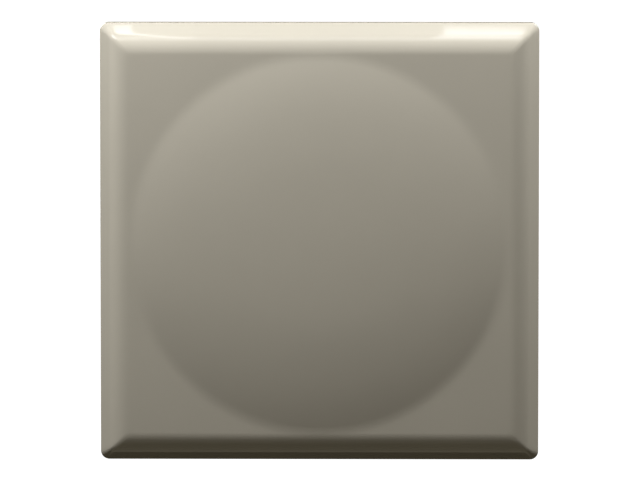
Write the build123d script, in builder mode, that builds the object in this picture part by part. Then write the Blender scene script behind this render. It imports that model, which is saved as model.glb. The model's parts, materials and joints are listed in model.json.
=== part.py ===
"""Square flat-panel antenna: a domed plastic radome over a stacked-patch radiator on an aluminium plate.

Frame: X across, Z up, the front faces -Y. The origin is the centre of the rear mounting plane.
A height is a distance from that plane: FRONT heights run towards -Y, REAR heights towards +Y.
"""

import os
from math import atan, cos, degrees, hypot, radians, sin, tan

from build123d import *

os.makedirs("parts", exist_ok=True)

# ---- Driving dimensions, in millimetres -------------------------------------------------------

panel_size = 259.0
panel_depth = 33.5
corner_radius = 5.0
radome_wall = 2.8

bevel_width = 17.7
bevel_depth = 19.0
bevel_angle = radians(64)
dome_edge_slope = radians(8.2)
dome_bands = ((45.0, 0.17), (80.0, 0.53), (107.6, 1.0), (111.6, 0.0))

plate_thickness = 2.5
plate_gap = 0.4
gasket_thickness = 1.5
gasket_width = 10.7
ledge_thickness = 3.0

cover_screw_line = 120.5
cover_screw_step = 80.0
cover_screw_radius = 1.5
cover_screw_length = 12.0
cover_head_radius = 2.9
cover_head_height = 2.3
cover_washer_radius = 3.6
cover_washer_thickness = 0.8
boss_radius = 4.2
boss_height = 14.0
insert_radius = 2.3
insert_length = 6.0
insert_hole_depth = 8.0

stud_pitch = 100.0
stud_radius = 3.0
stud_length = 16.0
stud_tip_chamfer = 0.8
stud_collar_radius = 3.3
stud_head_radius = 4.1
stud_head_thickness = 1.4

board_width = 66.0
board_top = -12.0
board_bottom = -102.0
board_thickness = 1.6
board_corner_radius = 3.0
board_screw_inset = 4.0
board_hole_depth = 2.0
board_screw_radius = 1.25
board_head_radius = 2.4
board_head_height = 1.8
copper_thickness = 0.1
hybrid_half = 22.5
hybrid_top = -25.0
hybrid_bottom = -70.0
line_width = 2.8
branch_width = 4.6
load_drop = 84.5
load_width = 3.2
load_length = 6.4
load_thickness = 0.6

patch_radius = 86.0
patch_thickness = 1.5
patch_gap = 12.5
spacer_pitch = 80.0
spacer_radius = 4.0
inner_screw_radius = 1.5
inner_screw_clearance = 0.1
inner_head_radius = 2.8
nylon_head_height = 1.8
post_head_height = 2.0
flush_head_radius = 3.1
flush_screw_length = 7.5
spacer_stud_length = 5.0
spacer_bore_depth = 4.5
probe_reach = 27.0
probe_radius = 2.0
probe_foot_radius = 3.0
probe_foot_height = 0.6
probe_tip_radius = 1.25
probe_tip_height = 2.6
probe_nut_radius = 2.5
probe_nut_height = 2.0
post_radius = 4.0
director_radius = 69.0
director_thickness = 1.0
director_gap = 6.5

port_drop = 86.0
port_flange_size = 25.4
port_flange_thickness = 2.4
port_corner_radius = 1.6
port_screw_pitch = 18.26
port_screw_radius = 1.5
port_screw_length = 6.5
port_head_radius = 2.7
port_head_height = 1.9
port_gasket_thickness = 0.8
port_thread_radius = 7.94
port_thread_length = 10.5
port_collar_length = 3.0
port_relief_length = 1.5
port_relief_radius = 7.04
port_lip_length = 1.0
port_bore_radius = 4.2
port_bore_depth = 9.0
port_insulator_radius = 3.5
port_contact_radius = 1.52
port_contact_bore_radius = 0.83
port_contact_bore_depth = 4.5
port_contact_slot = 0.25
port_contact_setback = 2.0
port_pin_radius = 0.65
port_pin_reach = 1.0
port_boss_radius = 5.8
port_hole_radius = 6.0

vent_side = -92.0
vent_drop = 98.0
vent_stem_radius = 3.0
vent_barb_radius = 3.5
vent_barb_length = 1.6
vent_cap_radius = 6.5
vent_cap_height = 3.2
vent_slot_width = 0.9
vent_slot_height = 0.8
vent_bore_radius = 1.6
vent_seal_radius = 5.2
vent_seal_thickness = 0.8
vent_membrane_thickness = 0.3

label_width = 84.0
label_height = 36.0
label_corner_radius = 2.5
label_thickness = 0.15
label_rise = 86.0
arrow_side = 62.0
arrow_shaft_width = 5.0
arrow_shaft_height = 20.0
arrow_head_width = 16.0
arrow_head_side = 14.0
arrow_thickness = 0.1

# ---- Sizes that follow from them --------------------------------------------------------------

half_panel = panel_size / 2


def dome_arcs():
    """The dome's tangent arcs and its rise. An arc is (start radius, drop from the crown, slopes, bend).

    Each of dome_bands ends at its radius, with its share of the dome's steepest slope.
    """
    arcs = []
    radius, drop, slope = 0.0, 0.0, 0.0
    for end_radius, share in dome_bands:
        end_slope = dome_edge_slope * share
        bend = (end_radius - radius) / (sin(end_slope) - sin(slope))
        arcs.append((radius, drop, slope, end_slope, bend))
        drop += bend * (cos(slope) - cos(end_slope))
        radius, slope = end_radius, end_slope
    return arcs, drop


dome_curve, dome_rise = dome_arcs()
dome_foot_radius = dome_bands[-1][0]
face_height = panel_depth - dome_rise
wall_height = face_height - bevel_depth
flat_half_width = half_panel - bevel_width
blend_radius = (bevel_width * tan(bevel_angle) - bevel_depth) / (
    sin(bevel_angle) * tan(bevel_angle) - 1 + cos(bevel_angle)
)

plate_size = panel_size - 2 * (radome_wall + plate_gap)
plate_corner = corner_radius - plate_gap
ledge_height = plate_thickness + gasket_thickness
ledge_half_width = plate_size / 2 - gasket_width
board_front = plate_thickness + board_thickness
patch_height = plate_thickness + patch_gap
patch_front = patch_height + patch_thickness
director_height = patch_front + director_gap
director_front = director_height + director_thickness
board_height = board_top - board_bottom
board_centre = (board_top + board_bottom) / 2
flange_back = port_gasket_thickness + port_flange_thickness
collar_end = flange_back + port_collar_length
thread_start = collar_end + port_relief_length
port_end = thread_start + port_thread_length + port_lip_length
bore_floor = port_end - port_bore_depth
contact_tip = port_end - port_contact_setback
pin_end = board_front + copper_thickness + port_pin_reach

# ---- Planes and patterns ----------------------------------------------------------------------

FRONT = Plane.XZ
REAR = Plane(origin=(0, 0, 0), x_dir=(-1, 0, 0), z_dir=(0, 1, 0))
SECTION_ACROSS = Plane(origin=(0, 0, 0), x_dir=(1, 0, 0), z_dir=(0, 0, -1))
SECTION_UPRIGHT = Plane(origin=(0, 0, 0), x_dir=(0, 0, 1), z_dir=(1, 0, 0))


def ring_of_screws():
    """Centres of the twelve cover screws, in the local X and Y of FRONT or REAR."""
    line = cover_screw_line
    step = cover_screw_step / 2
    corners = [(x, y) for x in (-line, line) for y in (-line, line)]
    sides = [(x, y) for x in (-line, line) for y in (-step, step)]
    return corners + sides + [(y, x) for x, y in sides]


def square_of(pitch):
    """The four corners of a centred square."""
    return [(x * pitch / 2, y * pitch / 2) for x in (-1, 1) for y in (-1, 1)]


def finish_part(piece, name):
    """Labels a finished piece and writes its file."""
    piece.part.label = name
    export_step(piece.part, f"parts/{name}.step")


# ---- Fasteners shared by several nodes --------------------------------------------------------


def cross_recess(width, depth):
    """A cross-shaped driver recess that narrows downwards from the plane z = 0."""
    with BuildPart() as recess:
        with BuildSketch() as slots:
            Rectangle(width, width / 4)
            Rectangle(width / 4, width)
        extrude(slots.sketch, amount=-depth, taper=12)
    return recess.part


def pan_screw(shank_radius, length, head_radius, head_height):
    """A pan-head screw: its head stands on z = 0 and its shank runs to z = -length."""
    recess = Pos(0, 0, head_height) * cross_recess(1.1 * head_radius, 0.6 * head_height)
    with BuildPart() as screw:
        Cylinder(head_radius, head_height, align=(Align.CENTER, Align.CENTER, Align.MIN))
        fillet(screw.faces().sort_by(Axis.Z)[-1].edges(), 0.55 * head_height)
        Cylinder(shank_radius, length, align=(Align.CENTER, Align.CENTER, Align.MAX))
        chamfer(screw.faces().sort_by(Axis.Z)[0].edges(), 0.2 * shank_radius)
        add(recess, mode=Mode.SUBTRACT)
    return screw.part


def flat_screw(shank_radius, length, head_radius):
    """A countersunk screw: its head is flush with z = 0 and its tip is at z = -length."""
    cone_height = head_radius - shank_radius
    rim_height = 0.1
    recess = cross_recess(1.1 * head_radius, 0.8 * cone_height)
    with BuildPart() as screw:
        with BuildSketch(Plane.XZ):
            with BuildLine():
                Polyline(
                    (0, 0),
                    (head_radius, 0),
                    (head_radius, -rim_height),
                    (shank_radius, -rim_height - cone_height),
                    (shank_radius, -length),
                    (0, -length),
                    close=True,
                )
            make_face()
        revolve(axis=Axis.Z)
        add(recess, mode=Mode.SUBTRACT)
    return screw.part


def ring(outer_radius, inner_radius, height):
    """A plain ring that stands on z = 0: a washer, seal, spacer or insert."""
    with BuildPart() as tube:
        with BuildSketch():
            Circle(outer_radius)
            Circle(inner_radius, mode=Mode.SUBTRACT)
        extrude(amount=height)
    return tube.part


# ---- Radome -----------------------------------------------------------------------------------


def radome_section(inset, plane):
    """The radome's outline across its middle, without the dome, moved inwards by inset."""
    wall = half_panel - inset
    corner_lift = inset * (1 - sin(bevel_angle)) / cos(bevel_angle)
    blend = blend_radius - inset
    centre_height = face_height - blend_radius
    half_angle = bevel_angle / 2
    bevel_end = (
        flat_half_width + blend * sin(bevel_angle),
        centre_height + blend * cos(bevel_angle),
    )
    blend_middle = (
        flat_half_width + blend * sin(half_angle),
        centre_height + blend * cos(half_angle),
    )
    with BuildSketch(plane) as section:
        with BuildLine():
            Line((0, 0), (wall, 0))
            Line((wall, 0), (wall, wall_height - corner_lift))
            Line((wall, wall_height - corner_lift), bevel_end)
            ThreePointArc(bevel_end, blend_middle, (flat_half_width, face_height - inset))
            Line((flat_half_width, face_height - inset), (0, face_height - inset))
            mirror(about=Plane.YZ)
        make_face()
    return section.sketch


def dome_point(arc, part_way, inset):
    """(radius, height) on one of the dome's arcs, part_way along it and moved inwards by inset."""
    radius, drop, slope, end_slope, bend = arc
    angle = slope + part_way * (end_slope - slope)
    return (
        radius + bend * (sin(angle) - sin(slope)) - inset * sin(angle),
        panel_depth - drop - bend * (cos(slope) - cos(angle)) - inset * cos(angle),
    )


def filled_radome(inset):
    """The space inside the radome's skin moved inwards by inset: a mitred bevel under a shallow dome."""
    base = face_height - inset
    with BuildPart() as space:
        extrude(radome_section(inset, SECTION_ACROSS), amount=panel_size, both=True)
        extrude(
            radome_section(inset, SECTION_UPRIGHT),
            amount=panel_size,
            both=True,
            mode=Mode.INTERSECT,
        )
        with BuildSketch(FRONT):
            side = panel_size - 2 * inset
            RectangleRounded(side, side, corner_radius - inset)
        extrude(amount=panel_depth, mode=Mode.INTERSECT)
        with BuildSketch(SECTION_ACROSS):
            with BuildLine():
                for arc in dome_curve:
                    ThreePointArc(*[dome_point(arc, part_way, inset) for part_way in (0, 0.5, 1)])
                Line((dome_foot_radius, base), (dome_foot_radius, base - 1))
                Line((dome_foot_radius, base - 1), (0, base - 1))
                Line((0, base - 1), (0, panel_depth - inset))
            make_face()
        revolve(axis=Axis.Y)
    return space.part


outer_space = filled_radome(0)
inner_space = filled_radome(radome_wall)

with BuildPart() as radome:
    add(outer_space)
    add(inner_space, mode=Mode.SUBTRACT)
    with BuildSketch(FRONT.offset(ledge_height)):
        Rectangle(panel_size - radome_wall, panel_size - radome_wall)
        Rectangle(2 * ledge_half_width, 2 * ledge_half_width, mode=Mode.SUBTRACT)
    extrude(amount=ledge_thickness)
    with BuildSketch(FRONT.offset(ledge_height)):
        with Locations(*ring_of_screws()):
            Circle(boss_radius)
    extrude(amount=boss_height - ledge_height)
    with BuildSketch(FRONT):
        RectangleRounded(panel_size, panel_size, corner_radius)
    extrude(amount=panel_depth, mode=Mode.INTERSECT)
    with BuildSketch(FRONT.offset(ledge_height)):
        with Locations(*ring_of_screws()):
            Circle(insert_radius)
    extrude(amount=insert_hole_depth, mode=Mode.SUBTRACT)
finish_part(radome, "radome")

insert = ring(insert_radius, cover_screw_radius + 0.05, insert_length)
with BuildPart(FRONT.offset(ledge_height + 0.2)) as radome_inserts:
    with Locations(*ring_of_screws()):
        add(insert)
finish_part(radome_inserts, "radome_inserts")

# ---- Gasket and back plate --------------------------------------------------------------------

with BuildPart() as radome_gasket:
    with BuildSketch(FRONT.offset(plate_thickness)):
        RectangleRounded(plate_size, plate_size, plate_corner)
        Rectangle(2 * ledge_half_width, 2 * ledge_half_width, mode=Mode.SUBTRACT)
        with Locations(*ring_of_screws()):
            Circle(cover_screw_radius + 0.2, mode=Mode.SUBTRACT)
    extrude(amount=gasket_thickness)
finish_part(radome_gasket, "radome_gasket")

board_screw_spots = [
    (
        x * (board_width / 2 - board_screw_inset),
        board_centre + y * (board_height / 2 - board_screw_inset),
    )
    for x in (-1, 1)
    for y in (-1, 1)
]
port_screw_spots = [(x, y - port_drop) for x, y in square_of(port_screw_pitch)]
flush_screw_spots = square_of(spacer_pitch) + [(0, 0)]

with BuildPart() as back_plate:
    with BuildSketch(FRONT):
        RectangleRounded(plate_size, plate_size, plate_corner)
        with Locations(*ring_of_screws()):
            Circle(cover_screw_radius + 0.2, mode=Mode.SUBTRACT)
        with GridLocations(stud_pitch, stud_pitch, 2, 2):
            Circle(stud_collar_radius, mode=Mode.SUBTRACT)
        with Locations((0, -port_drop)):
            Circle(port_hole_radius, mode=Mode.SUBTRACT)
        with Locations(*port_screw_spots):
            Circle(port_screw_radius, mode=Mode.SUBTRACT)
        with Locations((vent_side, -vent_drop)):
            Circle(vent_stem_radius, mode=Mode.SUBTRACT)
    extrude(amount=plate_thickness)
    with BuildSketch(FRONT.offset(plate_thickness)):
        with GridLocations(stud_pitch, stud_pitch, 2, 2):
            Circle(stud_head_radius)
    extrude(amount=-stud_head_thickness, mode=Mode.SUBTRACT)
    with BuildSketch(FRONT.offset(plate_thickness)):
        with Locations(*board_screw_spots):
            Circle(board_screw_radius)
    extrude(amount=-board_hole_depth, mode=Mode.SUBTRACT)
    with Locations(REAR):
        with Locations(*flush_screw_spots):
            CounterSinkHole(
                radius=inner_screw_radius + inner_screw_clearance,
                counter_sink_radius=flush_head_radius + 0.1,
                depth=2 * plate_thickness,
                counter_sink_angle=90,
            )
    chamfer(back_plate.faces().filter_by(Axis.Y).sort_by(Axis.Y)[-1].outer_wire().edges(), 0.4)
finish_part(back_plate, "back_plate")

# ---- Cover screws -----------------------------------------------------------------------------

cover_screw = pan_screw(
    cover_screw_radius, cover_screw_length, cover_head_radius, cover_head_height
)
with BuildPart(REAR.offset(cover_washer_thickness)) as cover_screws:
    with Locations(*ring_of_screws()):
        add(cover_screw)
finish_part(cover_screws, "cover_screws")

cover_washer = ring(cover_washer_radius, cover_screw_radius + 0.1, cover_washer_thickness)
with BuildPart(REAR) as cover_washers:
    with Locations(*ring_of_screws()):
        add(cover_washer)
finish_part(cover_washers, "cover_washers")

# ---- Mounting studs ---------------------------------------------------------------------------

with BuildPart() as stud:
    Cylinder(stud_radius, stud_length, align=(Align.CENTER, Align.CENTER, Align.MIN))
    chamfer(stud.faces().sort_by(Axis.Z)[-1].edges(), stud_tip_chamfer)
    Cylinder(
        stud_collar_radius,
        plate_thickness,
        align=(Align.CENTER, Align.CENTER, Align.MAX),
    )
    with Locations((0, 0, -plate_thickness)):
        Cylinder(
            stud_head_radius,
            stud_head_thickness,
            align=(Align.CENTER, Align.CENTER, Align.MIN),
        )

with BuildPart(REAR) as mounting_studs:
    with GridLocations(stud_pitch, stud_pitch, 2, 2):
        add(stud.part)
finish_part(mounting_studs, "mounting_studs")

# ---- Feed board: a branch-line hybrid that drives the patch at two points ---------------------

with BuildPart() as feed_board:
    with BuildSketch(FRONT.offset(plate_thickness)):
        with Locations((0, board_centre)):
            RectangleRounded(board_width, board_height, board_corner_radius)
        with Locations(*board_screw_spots):
            Circle(board_screw_radius + 0.15, mode=Mode.SUBTRACT)
        with Locations(*port_screw_spots):
            Circle(port_screw_radius + 0.7, mode=Mode.SUBTRACT)
        with Locations((0, -port_drop)):
            Circle(port_pin_radius + 0.05, mode=Mode.SUBTRACT)
    extrude(amount=board_thickness)
finish_part(feed_board, "feed_board")


def track(points, width):
    """A copper track of constant width along points, with round ends, in the current sketch."""
    for (x0, y0), (x1, y1) in zip(points, points[1:]):
        with Locations(((x0 + x1) / 2, (y0 + y1) / 2)):
            length = hypot(x1 - x0, y1 - y0)
            angle = degrees(atan((y1 - y0) / (x1 - x0))) if x1 != x0 else 90
            SlotCenterToCenter(length, width, rotation=angle)


with BuildPart() as feed_tracks:
    with BuildSketch(FRONT.offset(board_front)):
        for side in (-1, 1):
            track([(side * hybrid_half, hybrid_top), (side * hybrid_half, hybrid_bottom)], line_width)
            track([(side * hybrid_half, hybrid_top), (side * probe_reach, -probe_reach)], line_width)
        for level in (hybrid_top, hybrid_bottom):
            track([(-hybrid_half, level), (hybrid_half, level)], branch_width)
        track([(-hybrid_half, hybrid_bottom), (-hybrid_half, -port_drop), (0, -port_drop)], line_width)
        track([(hybrid_half, hybrid_bottom), (hybrid_half, -load_drop + 3.5)], line_width)
        with Locations((hybrid_half, -load_drop - 4.5)):
            Rectangle(8, 5)
        with Locations((0, -port_drop)):
            Circle(port_pin_radius + 0.05, mode=Mode.SUBTRACT)
    extrude(amount=copper_thickness)
finish_part(feed_tracks, "feed_tracks")

with BuildPart() as load_resistor:
    with BuildSketch(FRONT.offset(board_front + copper_thickness)):
        with Locations((hybrid_half, -load_drop)):
            Rectangle(load_width, load_length)
    extrude(amount=load_thickness)
finish_part(load_resistor, "load_resistor")

board_screw = pan_screw(
    board_screw_radius,
    board_thickness + board_hole_depth - 0.1,
    board_head_radius,
    board_head_height,
)
with BuildPart(FRONT.offset(board_front)) as board_screws:
    with Locations(*board_screw_spots):
        add(board_screw)
finish_part(board_screws, "board_screws")

# ---- Radiator stack: driven patch and director disc -------------------------------------------

probe_spots = [(-probe_reach, -probe_reach), (probe_reach, -probe_reach)]
probe_base = board_front + copper_thickness
probe_tip = patch_front + probe_tip_height

with BuildPart() as driven_patch:
    with BuildSketch(FRONT.offset(patch_height)):
        Circle(patch_radius)
        with Locations(*square_of(spacer_pitch), (0, 0)):
            Circle(inner_screw_radius + inner_screw_clearance, mode=Mode.SUBTRACT)
        with Locations(*probe_spots):
            Circle(probe_tip_radius + 0.05, mode=Mode.SUBTRACT)
    extrude(amount=patch_thickness)
finish_part(driven_patch, "driven_patch")

with BuildPart() as feed_probe:
    Cylinder(
        probe_foot_radius, probe_foot_height, align=(Align.CENTER, Align.CENTER, Align.MIN)
    )
    Cylinder(probe_radius, patch_height - probe_base, align=(Align.CENTER, Align.CENTER, Align.MIN))
    Cylinder(
        probe_tip_radius, probe_tip - probe_base, align=(Align.CENTER, Align.CENTER, Align.MIN)
    )

with BuildPart(FRONT.offset(probe_base)) as feed_probes:
    with Locations(*probe_spots):
        add(feed_probe.part)
finish_part(feed_probes, "feed_probes")

with BuildPart() as probe_nuts:
    with BuildSketch(FRONT.offset(patch_front)):
        with Locations(*probe_spots):
            RegularPolygon(probe_nut_radius, 6, major_radius=False)
            Circle(probe_tip_radius, mode=Mode.SUBTRACT)
    extrude(amount=probe_nut_height)
finish_part(probe_nuts, "probe_nuts")

spacer = ring(spacer_radius, inner_screw_radius, patch_gap)
with BuildPart(FRONT.offset(plate_thickness)) as patch_spacers:
    with Locations(*square_of(spacer_pitch)):
        add(spacer)
finish_part(patch_spacers, "patch_spacers")

with BuildPart() as upper_spacer:
    Cylinder(spacer_radius, director_gap, align=(Align.CENTER, Align.CENTER, Align.MIN))
    Cylinder(
        inner_screw_radius, spacer_stud_length, align=(Align.CENTER, Align.CENTER, Align.MAX)
    )
    with Locations((0, 0, director_gap)):
        Hole(inner_screw_radius, depth=spacer_bore_depth)

with BuildPart(FRONT.offset(patch_front)) as director_spacers:
    with Locations(*square_of(spacer_pitch)):
        add(upper_spacer.part)
finish_part(director_spacers, "director_spacers")

with BuildPart() as director_disc:
    with BuildSketch(FRONT.offset(director_height)):
        Circle(director_radius)
        with Locations(*square_of(spacer_pitch)):
            Circle(inner_screw_radius + inner_screw_clearance, mode=Mode.SUBTRACT)
    extrude(amount=director_thickness)
finish_part(director_disc, "director_disc")

director_screw = pan_screw(
    inner_screw_radius,
    director_thickness + spacer_bore_depth - 0.7,
    inner_head_radius,
    nylon_head_height,
)
with BuildPart(FRONT.offset(director_front)) as director_screws:
    with Locations(*square_of(spacer_pitch)):
        add(director_screw)
finish_part(director_screws, "director_screws")

with BuildPart() as centre_post:
    with BuildSketch(FRONT.offset(plate_thickness)):
        RegularPolygon(post_radius, 6, major_radius=False)
        Circle(inner_screw_radius, mode=Mode.SUBTRACT)
    extrude(amount=patch_gap)
finish_part(centre_post, "centre_post")

post_top_screw = pan_screw(
    inner_screw_radius, patch_thickness + 4.5, inner_head_radius, post_head_height
)
with BuildPart(FRONT.offset(patch_front)) as post_screw:
    add(post_top_screw)
finish_part(post_screw, "post_screw")

flush_screw = flat_screw(inner_screw_radius, flush_screw_length, flush_head_radius)
with BuildPart(REAR) as flush_screws:
    with Locations(*flush_screw_spots):
        add(flush_screw)
finish_part(flush_screws, "flush_screws")

# ---- Antenna port: an N-type flange jack ------------------------------------------------------

PORT = Plane(origin=(0, 0, -port_drop), x_dir=(-1, 0, 0), z_dir=(0, 1, 0))
PORT_SECTION = Plane(origin=(0, 0, -port_drop), x_dir=(1, 0, 0), z_dir=(0, 0, 1))
PORT_AXIS = Axis((0, 0, -port_drop), (0, 1, 0))

with BuildPart() as port_body:
    with BuildSketch(PORT.offset(port_gasket_thickness)):
        RectangleRounded(port_flange_size, port_flange_size, port_corner_radius)
        with GridLocations(port_screw_pitch, port_screw_pitch, 2, 2):
            Circle(port_screw_radius + 0.1, mode=Mode.SUBTRACT)
    extrude(amount=port_flange_thickness)
    fillet(port_body.faces().sort_by(Axis.Y)[-1].outer_wire().edges(), 0.4)
    with BuildSketch(PORT_SECTION):
        with BuildLine():
            Polyline(
                (0, -plate_thickness),
                (port_boss_radius, -plate_thickness),
                (port_boss_radius, port_gasket_thickness + 0.5),
                (port_thread_radius, port_gasket_thickness + 0.5),
                (port_thread_radius, collar_end),
                (port_relief_radius, collar_end),
                (port_relief_radius, thread_start),
                (port_thread_radius, thread_start),
                (port_thread_radius, thread_start + port_thread_length),
                (port_relief_radius, port_end - 0.2),
                (port_relief_radius - 0.2, port_end),
                (0, port_end),
                close=True,
            )
        make_face()
    revolve(axis=PORT_AXIS)
    with BuildSketch(PORT.offset(port_end)):
        Circle(port_bore_radius)
    extrude(amount=-port_bore_depth, mode=Mode.SUBTRACT)
    with BuildSketch(PORT.offset(bore_floor)):
        Circle(port_insulator_radius)
    extrude(amount=-(bore_floor + plate_thickness), mode=Mode.SUBTRACT)
finish_part(port_body, "port_body")

with BuildPart() as port_insulator:
    with BuildSketch(PORT.offset(-plate_thickness)):
        Circle(port_insulator_radius)
        Circle(port_pin_radius, mode=Mode.SUBTRACT)
    extrude(amount=bore_floor + plate_thickness)
finish_part(port_insulator, "port_insulator")

with BuildPart() as port_contact:
    with BuildSketch(PORT.offset(-pin_end)):
        Circle(port_pin_radius)
    extrude(amount=bore_floor + pin_end)
    with BuildSketch(PORT.offset(bore_floor)):
        Circle(port_contact_radius)
    extrude(amount=contact_tip - bore_floor)
    with BuildSketch(PORT.offset(contact_tip)):
        Circle(port_contact_bore_radius)
        Rectangle(2 * port_contact_radius, port_contact_slot)
        Rectangle(port_contact_slot, 2 * port_contact_radius)
    extrude(amount=-port_contact_bore_depth, mode=Mode.SUBTRACT)
finish_part(port_contact, "port_contact")

with BuildPart() as port_gasket:
    with BuildSketch(PORT):
        RectangleRounded(port_flange_size, port_flange_size, port_corner_radius)
        Circle(port_boss_radius, mode=Mode.SUBTRACT)
        with GridLocations(port_screw_pitch, port_screw_pitch, 2, 2):
            Circle(port_screw_radius + 0.1, mode=Mode.SUBTRACT)
    extrude(amount=port_gasket_thickness)
finish_part(port_gasket, "port_gasket")

port_screw = pan_screw(
    port_screw_radius, port_screw_length, port_head_radius, port_head_height
)
with BuildPart(PORT.offset(flange_back)) as port_screws:
    with GridLocations(port_screw_pitch, port_screw_pitch, 2, 2):
        add(port_screw)
finish_part(port_screws, "port_screws")

with BuildPart() as solder_cone:
    Cone(2.0, 0.9, 0.8, align=(Align.CENTER, Align.CENTER, Align.MIN))
    Cylinder(port_pin_radius, 3, mode=Mode.SUBTRACT)

with BuildPart() as probe_fillet:
    Cone(
        probe_foot_radius + 0.9,
        probe_foot_radius,
        probe_foot_height,
        align=(Align.CENTER, Align.CENTER, Align.MIN),
    )
    Cylinder(probe_foot_radius, 3, mode=Mode.SUBTRACT)

with BuildPart(FRONT.offset(probe_base)) as solder_joints:
    with Locations((0, -port_drop)):
        add(solder_cone.part)
    with Locations(*probe_spots):
        add(probe_fillet.part)
finish_part(solder_joints, "solder_joints")

# ---- Vent, label and orientation arrow --------------------------------------------------------

VENT = Plane(origin=(vent_side, 0, -vent_drop), x_dir=(-1, 0, 0), z_dir=(0, 1, 0))

with BuildPart() as vent_plug:
    with BuildSketch(VENT.offset(vent_seal_thickness)):
        Circle(vent_cap_radius)
    extrude(amount=vent_cap_height)
    fillet(vent_plug.faces().sort_by(Axis.Y)[-1].edges(), 1.0)
    with BuildSketch(VENT.offset(vent_seal_thickness)):
        Circle(vent_stem_radius)
    extrude(amount=-(vent_seal_thickness + plate_thickness + 0.2))
    with BuildSketch(VENT.offset(-plate_thickness)):
        Circle(vent_barb_radius)
    extrude(amount=-vent_barb_length, taper=20)
    with BuildSketch(VENT.offset(vent_seal_thickness + vent_cap_height - 1.2)):
        Circle(vent_bore_radius)
    extrude(amount=-10, mode=Mode.SUBTRACT)
    with BuildSketch(VENT.offset(vent_seal_thickness + 1.6)):
        Rectangle(vent_slot_width, 2.5 * vent_cap_radius)
        Rectangle(2.5 * vent_cap_radius, vent_slot_width)
    extrude(amount=vent_slot_height, mode=Mode.SUBTRACT)
finish_part(vent_plug, "vent_plug")

with BuildPart() as vent_membrane:
    with BuildSketch(VENT.offset(vent_seal_thickness - 0.6)):
        Circle(vent_bore_radius)
    extrude(amount=vent_membrane_thickness)
finish_part(vent_membrane, "vent_membrane")

with BuildPart() as vent_seal:
    with BuildSketch(VENT):
        Circle(vent_seal_radius)
        Circle(vent_stem_radius, mode=Mode.SUBTRACT)
    extrude(amount=vent_seal_thickness)
finish_part(vent_seal, "vent_seal")

with BuildPart() as rear_label:
    with BuildSketch(REAR):
        with Locations((0, label_rise)):
            RectangleRounded(label_width, label_height, label_corner_radius)
    extrude(amount=label_thickness)
finish_part(rear_label, "rear_label")

with BuildPart() as up_arrow:
    with BuildSketch(REAR):
        with Locations((-arrow_side, label_rise)):
            with Locations((0, -6)):
                Rectangle(arrow_shaft_width, arrow_shaft_height)
            with Locations((0, 7.5)):
                Triangle(a=arrow_head_width, b=arrow_head_side, c=arrow_head_side)
    extrude(amount=arrow_thickness)
finish_part(up_arrow, "up_arrow")
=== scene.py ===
"""Looks for the flat-panel antenna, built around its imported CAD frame.

Row frame: +X across, +Z up. The domed front faces -Y, and y = 0 is the rear mounting plane.
Shapes are made in millimetres. A height is a distance in front of the mounting plane.
"""

import json
from math import asin, ceil, cos, hypot, pi, radians, sin, tan

import bmesh
import bpy
import numpy as np
from mathutils import Matrix, Vector


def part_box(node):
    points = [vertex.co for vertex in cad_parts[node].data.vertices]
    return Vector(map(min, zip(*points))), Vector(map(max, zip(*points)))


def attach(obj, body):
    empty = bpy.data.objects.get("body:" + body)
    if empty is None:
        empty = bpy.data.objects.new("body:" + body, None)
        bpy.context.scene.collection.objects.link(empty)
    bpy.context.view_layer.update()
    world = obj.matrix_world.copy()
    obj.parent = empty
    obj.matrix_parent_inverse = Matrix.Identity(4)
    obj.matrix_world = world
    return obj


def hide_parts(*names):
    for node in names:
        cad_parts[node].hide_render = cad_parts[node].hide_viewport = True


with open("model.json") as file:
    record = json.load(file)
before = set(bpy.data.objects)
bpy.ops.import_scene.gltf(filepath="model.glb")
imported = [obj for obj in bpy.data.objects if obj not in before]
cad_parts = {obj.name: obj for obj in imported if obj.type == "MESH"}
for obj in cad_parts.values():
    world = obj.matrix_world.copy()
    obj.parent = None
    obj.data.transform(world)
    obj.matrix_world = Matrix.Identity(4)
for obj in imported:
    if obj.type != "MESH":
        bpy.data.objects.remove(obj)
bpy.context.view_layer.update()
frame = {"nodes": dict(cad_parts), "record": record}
MM = 0.001

# ---- Sizes: the ones the frame holds are read from it, in millimetres -------------------------


def low(node, axis):
    """A CAD node's lowest coordinate along axis 0, 1 or 2."""
    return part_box(node)[0][axis] / MM


def high(node, axis):
    """A CAD node's highest coordinate along axis 0, 1 or 2."""
    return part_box(node)[1][axis] / MM


half_panel = high("radome", 0)
panel_depth = -low("radome", 1)
plate_thickness = -low("back_plate", 1)
corner_radius = 5.0
radome_wall = 2.8

bevel_width = 17.7
bevel_depth = 19.0
bevel_angle = radians(64)
dome_edge_slope = radians(8.2)
dome_bands = ((45.0, 0.17), (80.0, 0.53), (107.6, 1.0), (114.8, 0.0))
mitre_radius = 2.4
mitre_run = 7.0
tightest_mitre = 0.8
rim_edge_radius = 3.0
inner_edge_radius = 0.6
rim_ease = 0.4
lip_ease = 0.2


def dome_arcs():
    """Tangent arcs from the crown to the dome's foot, and the dome's rise.

    Each arc is (start radius, start drop, start slope, end slope, bend radius), with its drop
    measured down from the crown. Each of dome_bands ends at its radius with its share of the
    dome's steepest slope.
    """
    arcs = []
    radius, drop, slope = 0.0, 0.0, 0.0
    for end_radius, share in dome_bands:
        end_slope = dome_edge_slope * share
        bend = (end_radius - radius) / (sin(end_slope) - sin(slope))
        arcs.append((radius, drop, slope, end_slope, bend))
        drop += bend * (cos(slope) - cos(end_slope))
        radius, slope = end_radius, end_slope
    return arcs, drop


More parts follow.
